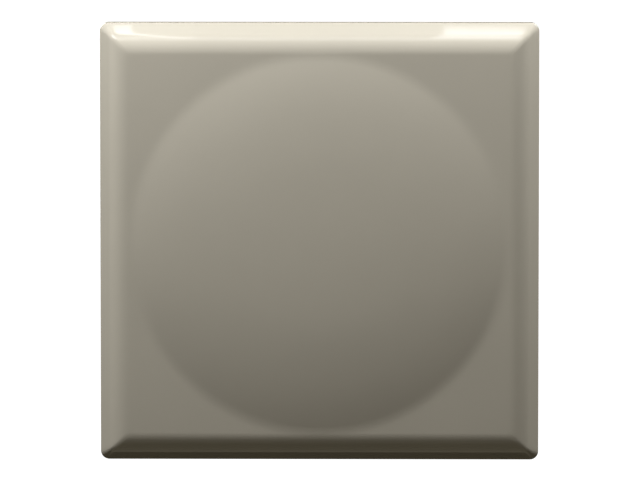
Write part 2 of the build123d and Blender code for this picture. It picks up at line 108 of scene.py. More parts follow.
dome_curve, dome_rise = dome_arcs()
dome_foot_radius = dome_bands[-1][0]
face_height = panel_depth - dome_rise
wall_height = face_height - bevel_depth
blend_radius = (bevel_width * tan(bevel_angle) - bevel_depth) / (
    sin(bevel_angle) * tan(bevel_angle) - 1 + cos(bevel_angle)
)
ledge_base = -low("radome_gasket", 1)
ledge_top = ledge_base + 3.0
ledge_half_width = 115.6
ledge_ease = 0.3
boss_top = 14.0
boss_radius = 4.2
insert_radius = 2.3
insert_hole_top = 12.0

cover_screw_line = 120.5
cover_screw_step = 40.0
stud_half_pitch = 50.0
spacer_half_pitch = 40.0
probe_reach = 27.0
port_drop = 86.0
port_screw_half_pitch = 9.13
board_screw_side = 29.0
board_screw_rows = (-16.0, -98.0)
vent_side = -92.0
vent_drop = 98.0
load_side = 22.5
load_drop = 84.5

# ---- Shapes: a shape is (points, faces), in millimetres ---------------------------------------

FRONT = Matrix(((1, 0, 0), (0, 0, -1), (0, 1, 0)))
REAR = Matrix(((-1, 0, 0), (0, 0, 1), (0, 1, 0)))


def loft(rings, closed=False):
    """A skin through rings with equal numbers of points. A ring of one point is a pole."""
    points, starts, faces = [], [], []
    for ring in rings:
        starts.append(len(points))
        points.extend(ring)
    pairs = list(zip(range(len(rings)), range(1, len(rings))))
    if closed:
        pairs.append((len(rings) - 1, 0))
    for a, b in pairs:
        size = max(len(rings[a]), len(rings[b]))
        for i in range(size):
            j = (i + 1) % size
            corners = [starts[a]] if len(rings[a]) == 1 else [starts[a] + i, starts[a] + j]
            corners += [starts[b]] if len(rings[b]) == 1 else [starts[b] + j, starts[b] + i]
            faces.append(tuple(corners))
    return np.array(points, float), faces


def lathe(profile, segments=48, closed=False, waves=0, wave_depth=0.0):
    """A profile of (radius, z) turned about the local z axis. waves flute the radius."""
    rings = []
    for radius, z in profile:
        if radius == 0:
            rings.append([(0, 0, z)])
            continue
        ring = []
        for i in range(segments):
            angle = 2 * pi * i / segments
            r = radius - (wave_depth * (0.5 + 0.5 * cos(waves * angle)) if waves else 0)
            ring.append((r * cos(angle), r * sin(angle), z))
        rings.append(ring)
    return loft(rings, closed)


def peg(radius, z0, z1, segments=32):
    """A plain solid cylinder from z0 to z1."""
    return lathe([(0, z0), (radius, z0), (radius, z1), (0, z1)], segments)


def rounded(corners, radius, steps=4, closed=False):
    """The outline through corners with each one turned into a small curve."""
    outline = []
    count = len(corners)
    for i, corner in enumerate(corners):
        if not closed and i in (0, count - 1):
            outline.append(tuple(corner))
            continue
        here = np.array(corner, float)
        before = np.array(corners[i - 1], float) - here
        after = np.array(corners[(i + 1) % count], float) - here
        reach = min(radius, 0.45 * np.linalg.norm(before), 0.45 * np.linalg.norm(after))
        start = here + before / np.linalg.norm(before) * reach
        end = here + after / np.linalg.norm(after) * reach
        for step in range(steps + 1):
            t = step / steps
            outline.append(tuple((1 - t) ** 2 * start + 2 * t * (1 - t) * here + t * t * end))
    return outline


def prism(outline, z0, z1, edge=0.0, steps=3):
    """A closed outline pulled from z0 to z1, its two rims eased by edge."""
    points = np.array(outline, float)
    centre = points.mean(0)
    reach = np.linalg.norm(points - centre, axis=1).max()
    rings = []
    for step in range(steps + 1 if edge else 1):
        turn = pi / 2 * step / steps
        rings.append((edge * (1 - sin(turn)), edge * (1 - cos(turn))))
    levels = [(z0 + lift, inward) for inward, lift in rings]
    levels += [(z1 - lift, inward) for inward, lift in reversed(rings)]
    skin = []
    for z, inward in levels:
        scale = 1 - inward / reach
        skin.append([(*(centre + (p - centre) * scale), z) for p in points])
    shape_points, faces = loft(skin)
    count = len(points)
    last = len(shape_points) - count
    faces.append(tuple(reversed(range(count))))
    faces.append(tuple(range(last, last + count)))
    return shape_points, faces


def rectangle(width, height, centre=(0, 0), corner=0.0, steps=4):
    """A rectangle's outline, with round corners if corner is given."""
    x, y = centre
    corners = [
        (x - width / 2, y - height / 2),
        (x + width / 2, y - height / 2),
        (x + width / 2, y + height / 2),
        (x - width / 2, y + height / 2),
    ]
    return rounded(corners, corner, steps, closed=True) if corner else corners


def hexagon(across_flats):
    """A hexagon's outline from its width across the flats."""
    radius = across_flats / 2 / cos(pi / 6)
    return [(radius * cos(pi / 3 * i), radius * sin(pi / 3 * i)) for i in range(6)]


def threaded_rod(radius, pitch, depth, z0, z1, lead_in=(True, True), segments=40):
    """A rod with a right-hand thread, cut off square at z0 and z1 and bevelled at each lead-in."""
    phases = (0.0, 0.125, 0.4375, 0.6875, 1.0)
    levels = (radius, radius, radius - depth, radius - depth, radius)
    turns = ceil((z1 - z0) / pitch) + 2
    rows = 4 * turns
    points = []
    for row in range(rows + 1):
        for i in range(segments):
            along = z0 + pitch * (row // 4 + phases[row % 4] + i / segments - 1)
            z = min(max(along, z0), z1)
            phase = ((z - z0) / pitch - i / segments) % 1.0
            r = float(np.interp(phase, phases, levels))
            if lead_in[0]:
                r = min(r, radius - 1.2 * depth + (z - z0))
            if lead_in[1]:
                r = min(r, radius - 1.2 * depth + (z1 - z))
            angle = 2 * pi * i / segments
            points.append((r * cos(angle), r * sin(angle), z))
    faces = []
    for row in range(rows):
        for i in range(segments):
            if i < segments - 1:
                here, there, step = row, row, i + 1
            else:
                here, there, step = row, row + 4, 0
            if there + 1 > rows:
                continue
            faces.append(
                (
                    here * segments + i,
                    there * segments + step,
                    (there + 1) * segments + step,
                    (here + 1) * segments + i,
                )
            )
    return closed_ends((np.array(points), faces))


def closed_ends(shape):
    """The shape with coincident points merged, flattened faces dropped and its open ends filled."""
    mesh = bmesh.new()
    made = [mesh.verts.new(p) for p in shape[0]]
    for face in shape[1]:
        mesh.faces.new([made[i] for i in face])
    bmesh.ops.remove_doubles(mesh, verts=mesh.verts, dist=1e-4)
    loose = [v for v in mesh.verts if not v.link_faces]
    bmesh.ops.delete(mesh, geom=loose, context="VERTS")
    bmesh.ops.holes_fill(mesh, edges=mesh.edges, sides=0)
    bmesh.ops.recalc_face_normals(mesh, faces=mesh.faces)
    mesh.verts.index_update()
    result = (
        np.array([v.co[:] for v in mesh.verts]),
        [tuple(v.index for v in f.verts) for f in mesh.faces],
    )
    mesh.free()
    return result


def merged(shapes):
    """Several separate shapes as one."""
    points, faces, start = [], [], 0
    for shape_points, shape_faces in shapes:
        points.append(shape_points)
        faces += [tuple(i + start for i in face) for face in shape_faces]
        start += len(shape_points)
    return np.concatenate(points), faces


def moved(shape, x=0.0, y=0.0, z=0.0):
    """The shape shifted by x, y and z."""
    return shape[0] + np.array((x, y, z)), shape[1]


def at_spots(shape, spots, z=0.0):
    """A copy of the shape at each (x, y)."""
    return merged([moved(shape, x, y, z) for x, y in spots])


def facing(shape, side):
    """The shape turned from its local frame to FRONT or REAR."""
    return shape[0] @ np.array(side).T, shape[1]


def mesh_object(name, shape, scale=1.0):
    """A Blender object that holds the shape, with its normals turned outwards."""
    mesh = bpy.data.meshes.new(name)
    mesh.from_pydata((shape[0] * scale).tolist(), [], shape[1])
    build = bmesh.new()
    build.from_mesh(mesh)
    bmesh.ops.recalc_face_normals(build, faces=build.faces)
    build.to_mesh(mesh)
    build.free()
    obj = bpy.data.objects.new(name, mesh)
    bpy.context.scene.collection.objects.link(obj)
    return obj


def combined(shape, tool, operation):
    """The shape joined with, or cut by, the tool: operation is UNION or DIFFERENCE."""
    first, second = mesh_object("first", shape), mesh_object("second", tool)
    modifier = first.modifiers.new("combine", "BOOLEAN")
    modifier.operation = operation
    modifier.solver = "MANIFOLD"
    modifier.object = second
    bpy.context.view_layer.update()
    graph = bpy.context.evaluated_depsgraph_get()
    mesh = bpy.data.meshes.new_from_object(first.evaluated_get(graph))
    points = np.array([v.co[:] for v in mesh.vertices])
    faces = [tuple(p.vertices) for p in mesh.polygons]
    for obj in (first, second):
        old = obj.data
        bpy.data.objects.remove(obj)
        bpy.data.meshes.remove(old)
    bpy.data.meshes.remove(mesh)
    return points, faces


def joined(shape, tool):
    return combined(shape, tool, "UNION")


def cut(shape, tool):
    return combined(shape, tool, "DIFFERENCE")


def shade(mesh, sharp_angle=35):
    """Smooth shading, kept crisp where faces meet at more than sharp_angle degrees."""
    mesh.polygons.foreach_set("use_smooth", [True] * len(mesh.polygons))
    mesh.set_sharp_from_angle(angle=radians(sharp_angle))
    mesh.update()


def piece(name, shape, material, nodes, sharp_angle=35):
    """A finished piece in the row frame, which stands for the CAD nodes it names."""
    obj = mesh_object(name, shape, MM)
    shade(obj.data, sharp_angle)
    obj.data.materials.append(material)
    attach(obj, "root")
    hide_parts(*nodes)
    return obj


def square_spots(half_x, half_y, centre=(0, 0)):
    """The four corners of a rectangle."""
    x, y = centre
    return [(x + i * half_x, y + j * half_y) for i in (-1, 1) for j in (-1, 1)]


def cover_spots():
    """The twelve cover screws' centres."""
    line, step = cover_screw_line, cover_screw_step
    sides = square_spots(line, step)
    return square_spots(line, line) + sides + [(y, x) for x, y in sides]


# ---- Materials --------------------------------------------------------------------------------


class Shader:
    """A Principled material and the nodes that feed it."""

    def __init__(self, name, color, roughness, metallic=0.0, **sockets):
        self.material = bpy.data.materials.new(name)
        self.material.use_nodes = True
        self.tree = self.material.node_tree
        self.surface = self.tree.nodes["Principled BSDF"]
        self.surface.inputs["Base Color"].default_value = (*color, 1)
        self.surface.inputs["Roughness"].default_value = roughness
        self.surface.inputs["Metallic"].default_value = metallic
        for socket, value in sockets.items():
            self.surface.inputs[socket.replace("_", " ")].default_value = value
        self.place = self.node("ShaderNodeTexCoord").outputs["Object"]

    def node(self, kind, **inputs):
        made = self.tree.nodes.new(kind)
        for name, value in inputs.items():
            self.feed(made.inputs[name.replace("_", " ")], value)
        return made

    def feed(self, socket, value):
        if isinstance(value, bpy.types.NodeSocket):
            self.tree.links.new(value, socket)
        else:
            socket.default_value = value

    def stretched(self, x, y, z):
        """Object coordinates scaled along each axis."""
        return self.node("ShaderNodeMapping", Vector=self.place, Scale=(x, y, z)).outputs["Vector"]

    def noise(self, scale, detail=3.0, roughness=0.55, place=None):
        """Cloudy noise, about scale features a metre."""
        made = self.node(
            "ShaderNodeTexNoise",
            Vector=place or self.place,
            Scale=scale,
            Detail=detail,
            Roughness=roughness,
        )
        return made.outputs["Fac"]

    def span(self, value, low_in, high_in, low_out, high_out):
        """value mapped from one range to another, held at the ends."""
        made = self.node("ShaderNodeMapRange", Value=value)
        for socket, number in zip(made.inputs[1:5], (low_in, high_in, low_out, high_out)):
            self.feed(socket, number)
        return made.outputs["Result"]

    def math(self, operation, a, b=0.0):
        made = self.tree.nodes.new("ShaderNodeMath")
        made.operation = operation
        self.feed(made.inputs[0], a)
        self.feed(made.inputs[1], b)
        return made.outputs["Value"]

    def mix(self, amount, first, second):
        """A colour between first and second."""
        made = self.tree.nodes.new("ShaderNodeMix")
        made.data_type = "RGBA"
        self.feed(made.inputs["Factor"], amount)
        for index, value in ((6, first), (7, second)):
            color = value if isinstance(value, bpy.types.NodeSocket) else (*value, 1)
            self.feed(made.inputs[index], color)
        return made.outputs[2]

    def color(self, value):
        self.feed(self.surface.inputs["Base Color"], value)

    def roughness(self, value):
        self.feed(self.surface.inputs["Roughness"], value)

    def bump(self, height, depth, strength=1.0):
        """Relief whose height map spans depth metres. Calls add up."""
        made = self.node("ShaderNodeBump", Height=height, Distance=depth, Strength=strength)
        normal = self.surface.inputs["Normal"]
        if normal.is_linked:
            self.feed(made.inputs["Normal"], normal.links[0].from_socket)
        self.feed(normal, made.outputs["Normal"])


def moulded(name, color, roughness, grain, depth, tint=0.04, **sockets):
    """Moulded plastic: slightly uneven in tone and gloss, over a fine relief."""
    s = Shader(name, color, roughness, **sockets)
    darker = tuple(c * (1 - tint) for c in color)
    lighter = tuple(min(1.0, c * (1 + tint)) for c in color)
    s.color(s.mix(s.span(s.noise(45), 0.35, 0.65, 0, 1), darker, lighter))
    s.roughness(s.span(s.noise(140, 4), 0.3, 0.7, roughness * 0.85, roughness * 1.2))
    s.bump(s.noise(grain, 4), depth)
    return s


def radome_plastic():
    """Glossy light-grey moulding: faint mottling, orange peel, specks of dust and hairlines."""
    base = (0.5, 0.462, 0.38)
    s = Shader("radome_plastic", base, 0.05, IOR=1.5)
    worn = s.span(s.noise(9, 4), 0.3, 0.7, 0, 1)
    tone = s.mix(worn, tuple(c * 0.975 for c in base), tuple(c * 1.02 for c in base))
    grime = s.span(s.noise(700, 5, 0.7), 0.62, 0.8, 0, 0.12)
    s.color(s.mix(grime, tone, (0.2, 0.17, 0.13)))
    gloss = s.span(s.noise(14, 5, 0.6), 0.3, 0.7, 0.035, 0.06)
    hairlines = s.span(s.noise(60, 2, 0.5, s.stretched(1.0, 1.0, 40.0)), 0.66, 0.74, 0, 0.05)
    s.roughness(s.math("ADD", gloss, hairlines))
    s.bump(s.noise(420, 2), 0.000006)
    s.bump(s.noise(2600, 2), 0.0000015)
    return s.material


def brushed(name, color, roughness, along=(6.0, 6.0, 900.0), depth=0.000004):
    """Metal with a fine directional grain and cloudy stains."""
    s = Shader(name, color, roughness, metallic=1.0)
    grain = s.noise(1.0, 3, 0.6, s.stretched(*along))
    cloud = s.noise(22, 5, 0.6)
    tone = s.mix(s.span(cloud, 0.3, 0.7, 0, 1), tuple(c * 0.9 for c in color), color)
    s.color(s.mix(s.span(grain, 0.3, 0.7, 0, 0.12), tone, tuple(c * 0.7 for c in color)))
    marks = s.span(grain, 0.3, 0.7, roughness * 0.8, roughness * 1.25)
    s.roughness(s.math("ADD", marks, s.span(cloud, 0.55, 0.75, 0, 0.08)))
    s.bump(grain, depth)
    return s.material


def turned(name, color, roughness, tint=0.12):
    """Machined or plated metal: light tarnish and fine tool marks."""
    s = Shader(name, color, roughness, metallic=1.0)
    cloud = s.noise(160, 5, 0.65)
    s.color(s.mix(s.span(cloud, 0.35, 0.75, 0, 1), color, tuple(c * (1 - tint) for c in color)))
    s.roughness(s.span(cloud, 0.3, 0.75, roughness * 0.8, roughness * 1.5))
    s.bump(s.noise(2400, 3), 0.000002)
    return s.material


def coated_plate():
    """Aluminium sheet with a pale conversion coat: rolled grain, faint gold and blue bloom, scratches."""
    s = Shader("plate_aluminium", (0.66, 0.655, 0.63), 0.4, metallic=0.45)
    grain = s.noise(1.0, 3, 0.6, s.stretched(5.0, 60.0, 700.0))
    bloom = s.span(s.noise(8, 4, 0.6), 0.35, 0.65, 0, 1)
    coat = s.mix(bloom, (0.68, 0.66, 0.6), (0.63, 0.645, 0.65))
    s.color(s.mix(s.span(grain, 0.25, 0.75, 0, 0.16), coat, (0.42, 0.41, 0.39)))
    scratches = s.noise(1.0, 2, 0.5, s.stretched(14.0, 14.0, 1500.0))
    marks = s.span(scratches, 0.7, 0.78, 0, 0.12)
    s.roughness(s.math("ADD", s.span(grain, 0.2, 0.8, 0.28, 0.42), marks))
    s.bump(grain, 0.000004)
    return s.material


def label_film():
    """Satin film printed with a plain frame and ruled rows, with no lettering."""
    s = Shader("label_film", (0.74, 0.74, 0.72), 0.32)
    split = s.node("ShaderNodeSeparateXYZ", Vector=s.place)
    x, z = split.outputs["X"], split.outputs["Z"]
    middle = (low("rear_label", 2) + high("rear_label", 2)) / 2 * MM
    half_width = (high("rear_label", 0) - low("rear_label", 0)) / 2 * MM
    half_height = (high("rear_label", 2) - low("rear_label", 2)) / 2 * MM
    across = s.math("ABSOLUTE", x)
    up = s.math("SUBTRACT", z, middle)
    rise = s.math("ABSOLUTE", up)

    def line(distance, place, half_line):
        away = s.math("ABSOLUTE", s.math("SUBTRACT", distance, place))
        return s.math("LESS_THAN", away, half_line)

    margin, stroke = 0.0022, 0.00022
    inside_x = s.math("LESS_THAN", across, half_width - margin)
    inside_z = s.math("LESS_THAN", rise, half_height - margin)
    ink = s.math("MULTIPLY", line(across, half_width - margin, stroke), inside_z)
    ink = s.math("MAXIMUM", ink, s.math("MULTIPLY", line(rise, half_height - margin, stroke), inside_x))
    for row in (0.3, 0.02, -0.26, -0.54):
        ruled = s.math("MULTIPLY", line(up, row * half_height, stroke * 0.7), inside_x)
        ink = s.math("MAXIMUM", ink, ruled)
    column = s.math("MULTIPLY", line(x, 0.3 * half_width, stroke * 0.7), inside_z)
    below_header = s.math("LESS_THAN", up, 0.3 * half_height)
    ink = s.math("MAXIMUM", ink, s.math("MULTIPLY", column, below_header))
    header = s.math("GREATER_THAN", up, 0.3 * half_height)
    header = s.math("MULTIPLY", s.math("MULTIPLY", header, inside_x), inside_z)
    film = s.mix(s.span(s.noise(60, 4), 0.3, 0.7, 0, 1), (0.72, 0.72, 0.7), (0.77, 0.77, 0.75))
    film = s.mix(header, film, (0.2, 0.23, 0.26))
    s.color(s.mix(ink, film, (0.05, 0.05, 0.055)))
    s.roughness(s.span(s.noise(110, 4), 0.3, 0.7, 0.27, 0.4))
    s.bump(s.noise(900, 2), 0.000003)
    return s.material


def board_laminate():
    """Green solder mask with the faint square weave of the glass cloth below."""
    s = Shader("board_laminate", (0.03, 0.12, 0.05), 0.3)
    split = s.node("ShaderNodeSeparateXYZ", Vector=s.place)
    threads = 2 * pi / 0.0005
    warp = s.math("SINE", s.math("MULTIPLY", split.outputs["X"], threads))
    weft = s.math("SINE", s.math("MULTIPLY", split.outputs["Z"], threads))
    weave = s.span(s.math("MULTIPLY", warp, weft), -1, 1, 0, 1)
    s.color(s.mix(weave, (0.026, 0.11, 0.045), (0.034, 0.13, 0.058)))
    s.roughness(s.span(s.noise(90, 4), 0.3, 0.7, 0.25, 0.38))
    s.bump(weave, 0.000004)
    return s.material


materials = {
    "radome_plastic": radome_plastic(),
    "plate_aluminium": coated_plate(),
    "patch_aluminium": brushed("patch_aluminium", (0.76, 0.76, 0.77), 0.28, (5.0, 60.0, 600.0)),
    "seal_rubber": moulded("seal_rubber", (0.022, 0.022, 0.023), 0.62, 1500, 0.00001, 0.25).material,
    "screw_steel": turned("screw_steel", (0.56, 0.55, 0.53), 0.26),
    "brass": turned("brass", (0.68, 0.47, 0.2), 0.24, tint=0.25),
    "nickel_plating": turned("nickel_plating", (0.62, 0.58, 0.51), 0.2, tint=0.15),
    "gold_plating": turned("gold_plating", (0.83, 0.58, 0.22), 0.18, tint=0.1),
    "white_dielectric": moulded("white_dielectric", (0.8, 0.8, 0.77), 0.42, 900, 0.000004).material,
    "board_laminate": board_laminate(),
    "copper": turned("copper", (0.72, 0.36, 0.22), 0.3, tint=0.3),
    "resistor_ceramic": moulded("resistor_ceramic", (0.03, 0.03, 0.035), 0.4, 1800, 0.000005).material,
    "solder": turned("solder", (0.66, 0.66, 0.67), 0.22, tint=0.2),
    "nylon": moulded("nylon", (0.76, 0.73, 0.66), 0.38, 700, 0.000006, Subsurface_Weight=0.15).material,
    "black_plastic": moulded("black_plastic", (0.02, 0.02, 0.021), 0.4, 1600, 0.00002, 0.2).material,
    "label_film": label_film(),
    "black_ink": moulded("black_ink", (0.025, 0.025, 0.026), 0.5, 900, 0.000004, 0.2).material,
}

slot_of_node = {s["node"]: s["material_slot"] for s in frame["record"]["subparts"]}
for node_name, node_object in frame["nodes"].items():
    node_object.data.materials.clear()
    node_object.data.materials.append(materials[slot_of_node[node_name]])
    shade(node_object.data)


def part_piece(name, shape, node, sharp_angle=35):
    """A piece that stands for one CAD node and takes that node's finish."""
    slot = slot_of_node[node]
    return piece(name, shape, materials[slot], [node], sharp_angle)


# ---- Radome -----------------------------------------------------------------------------------

side_steps = 92
corner_steps = 8
edge_steps = 5
facet_steps = 6
blend_steps = 14
rim_steps = 4
face_steps = 40
dome_steps = 44
round_face_radius = 105.0


def square_ring(half, radius, height):
    """A ring of points round a square with round corners, counted from the middle of the +X side."""
    points = []
    straight = half - radius
    for quarter in range(4):
        turn = pi / 2 * quarter
        local = [(half, straight * (2 * i / side_steps - 1)) for i in range(side_steps)]
        for i in range(corner_steps):
            angle = pi / 2 * i / corner_steps
            local.append((straight + radius * cos(angle), straight + radius * sin(angle)))
        for x, z in local:
            points.append((x * cos(turn) - z * sin(turn), -height, x * sin(turn) + z * cos(turn)))
    return points


def round_ring(radius, height, pattern):
    """A ring of points round a circle, at the same bearings as the points of pattern."""
    ring = []
    for x, _, z in pattern:
        reach = hypot(x, z)
        ring.append((x / reach * radius, -height, z / reach * radius))
    return ring


def corner_at(inward, inset):
    """The corner radius of the ring that lies inward from the silhouette: the mitre tightens inwards."""
    ease = max(0.0, 1 - inward / mitre_run) ** 2
    return max(tightest_mitre, mitre_radius + (corner_radius - mitre_radius) * ease - 0.6 * inset)


def bevel_profile(inset, edge_radius):
    """(inward, height) from the wall's top, round its edge, up the facet and over the blend."""
    corner = wall_height - inset * (1 - sin(bevel_angle)) / cos(bevel_angle)
    blend = blend_radius - inset
    centre = face_height - blend_radius
    turn = pi / 2 - bevel_angle
    reach = edge_radius * tan(turn / 2)
    profile = []
    for step in range(edge_steps + 1):
        angle = turn * step / edge_steps
        inward = inset + edge_radius * (1 - cos(angle))
        profile.append((inward, corner - reach + edge_radius * sin(angle)))
    end_in = bevel_width - blend * sin(bevel_angle)
    end_up = centre + blend * cos(bevel_angle)
    start_in, start_up = profile[-1]
    for step in range(1, facet_steps + 1):
        t = step / facet_steps
        profile.append((start_in + (end_in - start_in) * t, start_up + (end_up - start_up) * t))
    for step in range(1, blend_steps + 1):
        angle = bevel_angle * (1 - step / blend_steps)
        profile.append((bevel_width - blend * sin(angle), centre + blend * cos(angle)))
    return profile


def dome_height(radius):
    """How far the dome stands above the flat face at a radius."""
    for start, drop, slope, end_slope, bend in reversed(dome_curve):
        if start <= radius < dome_foot_radius:
            angle = asin(sin(slope) + (radius - start) / bend)
            return dome_rise - drop - bend * (cos(slope) - cos(angle))
    return 0.0


def domed(ring):
    """The ring with the dome's height added, which also reaches over the foot of the bevel."""
    return [(x, y - dome_height(hypot(x, z)), z) for x, y, z in ring]


def cover_skin(inset, edge_radius):
    """Rings over one skin of the radome, from its wall to its crown."""
    rings = []
    for inward, height in bevel_profile(inset, edge_radius):
        rings.append(square_ring(half_panel - inward, corner_at(inward, inset), height))
    level = face_height - inset
    face_start = np.array(rings[-1])
    face_end = np.array(round_ring(round_face_radius, level, rings[-1]))
    for step in range(1, face_steps + 1):
        rings.append((face_start + (face_end - face_start) * step / face_steps).tolist())
    for step in range(1, dome_steps):
        radius = round_face_radius * (1 - step / dome_steps)
        rings.append(round_ring(radius, level, face_start))
    rings.append([(0, -level, 0)])
    return [domed(ring) for ring in rings]


def radome_shape():
    """The whole moulding: outer skin, rim, inner wall, ledge, inner skin, bosses and insert holes."""
    outer = cover_skin(0, rim_edge_radius)
    inner = cover_skin(radome_wall, inner_edge_radius)
    rim = []
    for step in range(rim_steps + 1):
        angle = pi / 2 * (1 - step / rim_steps)
        inward = rim_ease * (1 - cos(angle))
        rim.append(square_ring(half_panel - inward, corner_radius - inward, rim_ease * (1 - sin(angle))))
    rim.reverse()
    wall_in = half_panel - radome_wall
    inner_corner = corner_radius - radome_wall
    lip = [
        square_ring(wall_in + lip_ease, inner_corner + lip_ease, 0),
        square_ring(wall_in, inner_corner, lip_ease),
        square_ring(wall_in, inner_corner, ledge_base),
        square_ring(ledge_half_width, tightest_mitre, ledge_base),
        square_ring(ledge_half_width, tightest_mitre, ledge_top - ledge_ease),
        square_ring(ledge_half_width + ledge_ease, tightest_mitre, ledge_top),
    ]
    above_ledge = [ring for ring in inner if -ring[0][1] > ledge_top]
    shell = loft(list(reversed(outer)) + rim + lip + above_ledge)
    boss = peg(boss_radius, ledge_base, boss_top)
    hole = peg(insert_radius, 0, insert_hole_top)
    return shell, facing(at_spots(boss, cover_spots()), FRONT), facing(at_spots(hole, cover_spots()), FRONT)


shell, bosses, insert_holes = radome_shape()
shell = cut(joined(shell, bosses), insert_holes)
part_piece("radome_cover", shell, "radome", 28)

# ---- Screws, washers, inserts and studs -------------------------------------------------------

thread_depth = 0.6
head_segments = 56


def cross_recess(width, depth, z):
    """A cross-shaped driver recess that narrows from z down to its floor."""
    arm, web = width / 2, width / 8
    quarter = [(arm, -web), (arm, web), (web, web)]
    outline = []
    for turn in range(4):
        c, s = cos(pi / 2 * turn), sin(pi / 2 * turn)
        outline += [(x * c - y * s, x * s + y * c) for x, y in quarter]
    rings = []
    for level, scale in ((z + 0.5, 1.06), (z, 1.0), (z - 0.7 * depth, 0.72), (z - depth, 0.3)):
        rings.append([(x * scale, y * scale, level) for x, y in outline])
    shape_points, faces = loft(rings)
    count = len(outline)
    faces.append(tuple(reversed(range(count))))
    faces.append(tuple(range(3 * count, 4 * count)))
    return shape_points, faces


def pan_screw(radius, length, head_radius, head_height, pitch):
    """A pan-head screw whose head stands on z = 0 and whose thread runs down to z = -length."""
    crown, crown_drop, steps = 0.72, 0.16, 6
    profile = [(0, head_height)]
    for step in range(1, steps + 1):
        r = head_radius * crown * step / steps
        profile.append((r, head_height * (1 - crown_drop * (step / steps) ** 2)))
    for step in range(1, steps + 1):
        angle = pi / 2 * step / steps
        r = head_radius * (crown + (1 - crown) * sin(angle))
        profile.append((r, head_height * (crown_drop + (1 - 2 * crown_drop) * cos(angle))))
    profile += [(head_radius, 0.06 * head_height), (head_radius * 0.97, 0), (0, 0)]
    recess = cross_recess(1.15 * head_radius, 0.62 * head_height, head_height)
    head = cut(lathe(profile, head_segments), recess)
    thread = threaded_rod(radius, pitch, thread_depth * pitch, -length, 0.3, (True, False))
    return joined(head, thread)


def flat_screw(radius, length, head_radius, pitch):
    """A countersunk screw flush with z = 0, whose thread runs down to z = -length."""
    cone = head_radius - radius
    profile = [(0, 0), (head_radius - 0.08, 0), (head_radius, -0.05), (head_radius, -0.1)]
    profile += [(radius, -0.1 - cone), (0, -0.1 - cone)]
    head = cut(lathe(profile, head_segments), cross_recess(1.1 * head_radius, 0.85 * cone, 0))
    thread = threaded_rod(radius, pitch, thread_depth * pitch, -length, -cone, (True, False))
    return joined(head, thread)


def ring_shape(outer, inner, z0, z1, ease=0.15, segments=48):
    """A ring with eased edges: a washer, seal or spacer."""
    corners = [(inner, z0), (outer, z0), (outer, z1), (inner, z1)]
    return lathe(rounded(corners, ease, 3, closed=True), segments, closed=True)


cover_screw = pan_screw(radius=1.5, length=12.0, head_radius=2.9, head_height=2.3, pitch=0.5)
cover_seat = high("cover_washers", 1)
part_piece(
    "cover_pan_screws",
    facing(at_spots(cover_screw, cover_spots(), cover_seat), REAR),
    "cover_screws",
)

sealing_washer = ring_shape(3.6, 1.6, 0, cover_seat, 0.3)
part_piece(
    "sealing_washers",
    facing(at_spots(sealing_washer, cover_spots()), REAR),
    "cover_washers",
)


def knurled_insert(radius, bore, length):
    """A brass insert: two knurled bands, a plain groove between them and a lead-in at its tip."""
    bands = [(0.0, 0.38), (0.56, 0.94)]
    profile = [(bore, 0), (radius - 0.2, 0)]
    for start, end in bands:
        profile += [(radius, start * length + 0.15), (radius, end * length - 0.15)]
        profile += [(radius - 0.3, end * length), (radius - 0.3, end * length + 0.3)]
    profile += [(radius - 0.3, length), (bore, length)]
    return lathe(profile, 96, closed=True, waves=24, wave_depth=0.12)


insert = knurled_insert(insert_radius, bore=1.55, length=6.0)
part_piece(
    "threaded_inserts",
    facing(at_spots(insert, cover_spots(), ledge_base + 0.2), FRONT),
    "radome_inserts",
)

stud_length = high("mounting_studs", 1)
stud_head_radius = 4.1
stud_head_top = 1.4 - plate_thickness
stud_shank_radius = 3.3
stud_base = [
    (0, -plate_thickness),
    (stud_head_radius, -plate_thickness),
    (stud_head_radius, stud_head_top),
    (stud_shank_radius, stud_head_top),
    (stud_shank_radius, 0),
    (0, 0),
]
stud_thread = threaded_rod(3.0, 1.0, 0.61, -0.2, stud_length, (False, True), 56)
stud = joined(lathe(rounded(stud_base, 0.12, 2), 56), stud_thread)
part_piece(
    "threaded_studs",
    facing(at_spots(stud, square_spots(stud_half_pitch, stud_half_pitch)), REAR),
    "mounting_studs",
)

flush_spots = square_spots(spacer_half_pitch, spacer_half_pitch) + [(0, 0)]
part_piece(
    "countersunk_screws",
    facing(at_spots(flat_screw(radius=1.5, length=7.5, head_radius=3.1, pitch=0.5), flush_spots), REAR),
    "flush_screws",
)

# ---- Antenna port -----------------------------------------------------------------------------

flange_base = high("port_gasket", 1)
port_end = high("port_body", 1)
flange_thickness = 2.4
port_radius = 7.94
relief_radius = 7.04
bore_radius = 4.2
dielectric_radius = 3.5
bore_depth = 9.0
lip_length = 1.0
thread_length = 10.5
port_segments = 72


